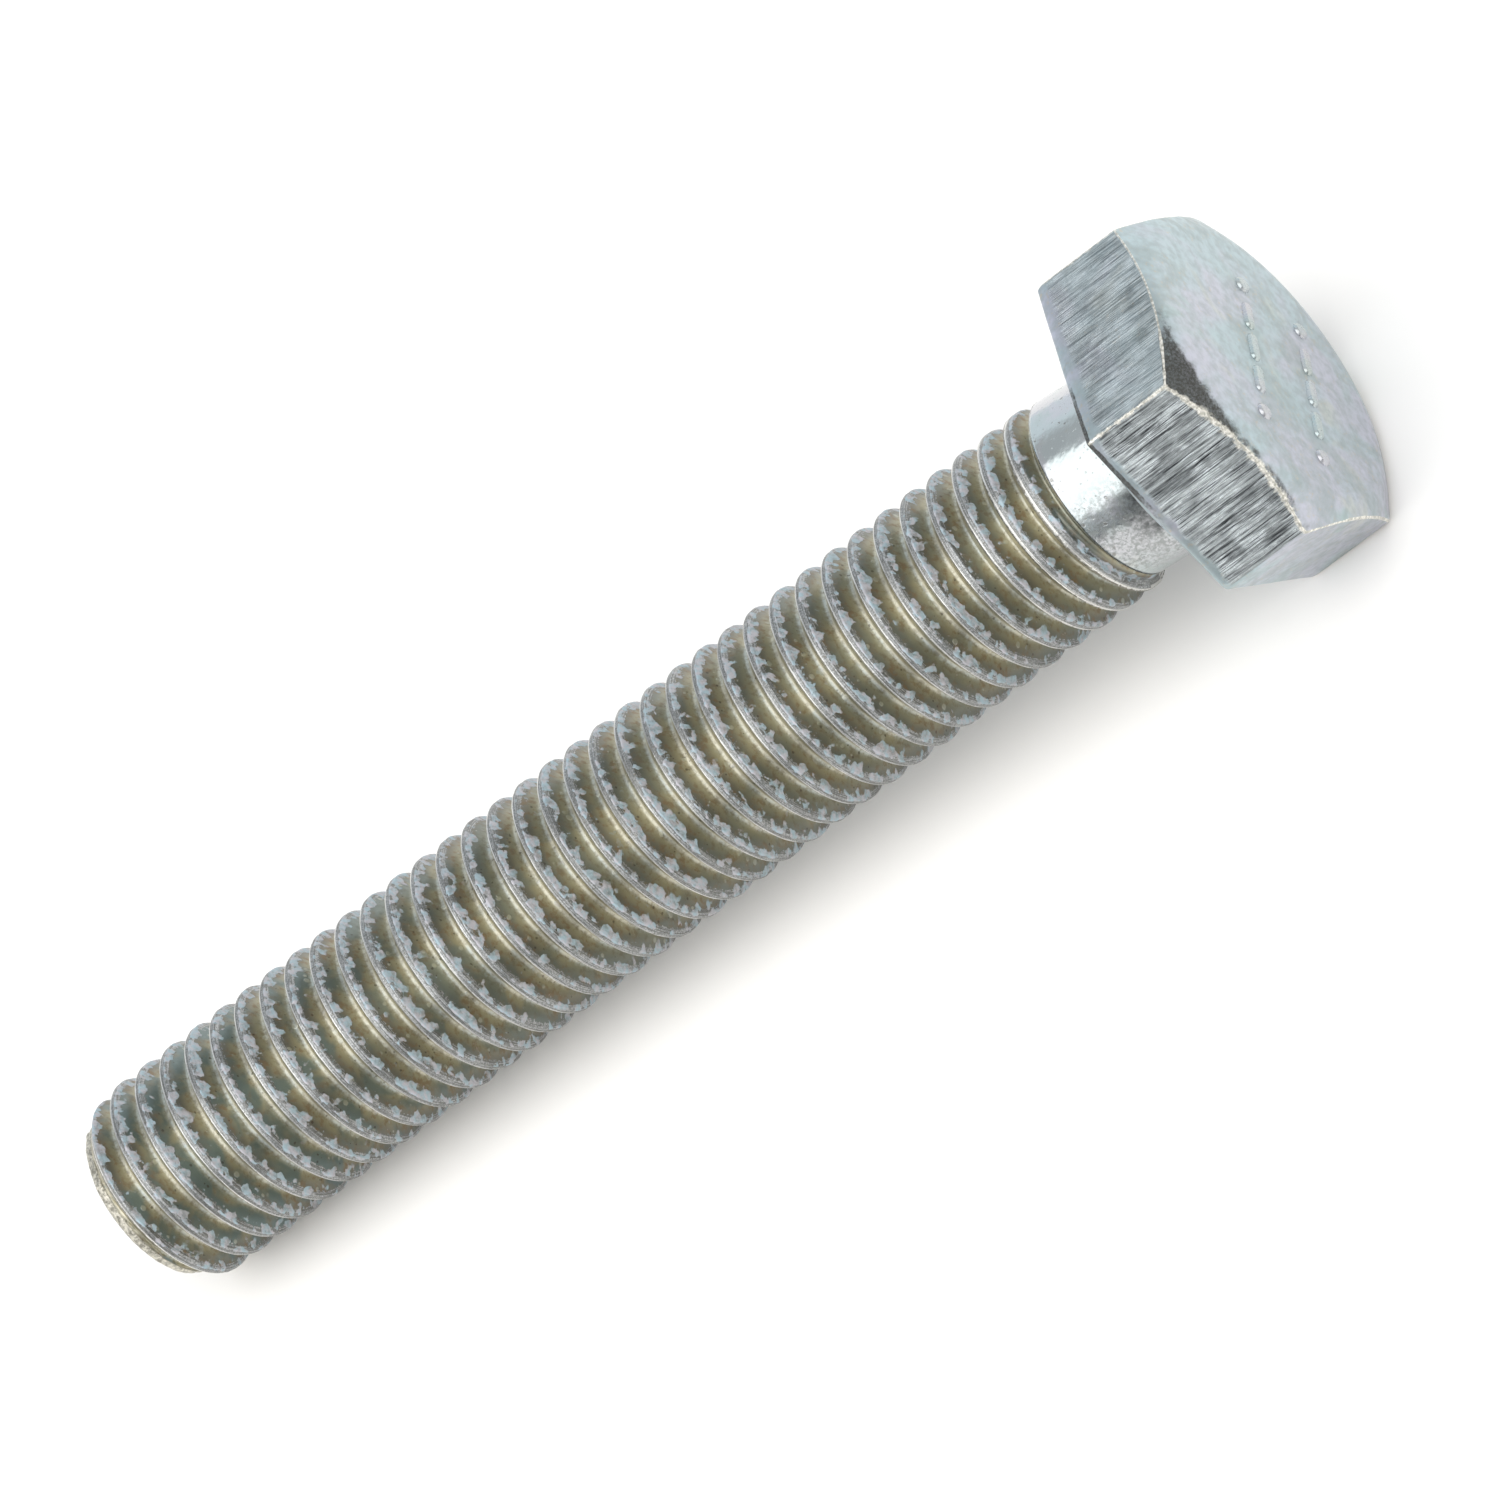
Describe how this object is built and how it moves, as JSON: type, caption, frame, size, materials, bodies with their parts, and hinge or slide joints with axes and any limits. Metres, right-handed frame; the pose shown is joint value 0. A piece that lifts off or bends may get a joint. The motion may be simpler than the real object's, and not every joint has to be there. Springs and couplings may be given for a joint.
{
  "type": "hex bolt",
  "caption": "Full-thread hexagon head bolt with a short plain neck, a bearing ring under the head and a chamfered point, zinc plated.",
  "frame": {"origin": "centre of the bearing face under the head", "axes": "+X along the bolt's axis from the bearing face towards the top of the head, so the shank points to -X; two of the head's flats face +Z and -Z, and two of its corners point to +Y and -Y"},
  "size_m": [0.0548, 0.0146, 0.0128],
  "materials": {
    "plated_head": "satin zinc plate with faint rainbow stains",
    "bright_neck": "shiny zinc plate with small pits",
    "rolled_thread": "glossy olive zinc plate with pale deposits on the crests",
    "burred_point": "rough turned edge under zinc plate",
    "raised_marks": "satin zinc plate, bright at the edges"
  },
  "bodies": {
    "root": {"hex_head": "plated_head", "bearing_ring": "plated_head", "plain_neck": "bright_neck", "threaded_shank": "rolled_thread", "chamfered_point": "burred_point", "head_marks": "raised_marks"}
  },
  "joints": []
}
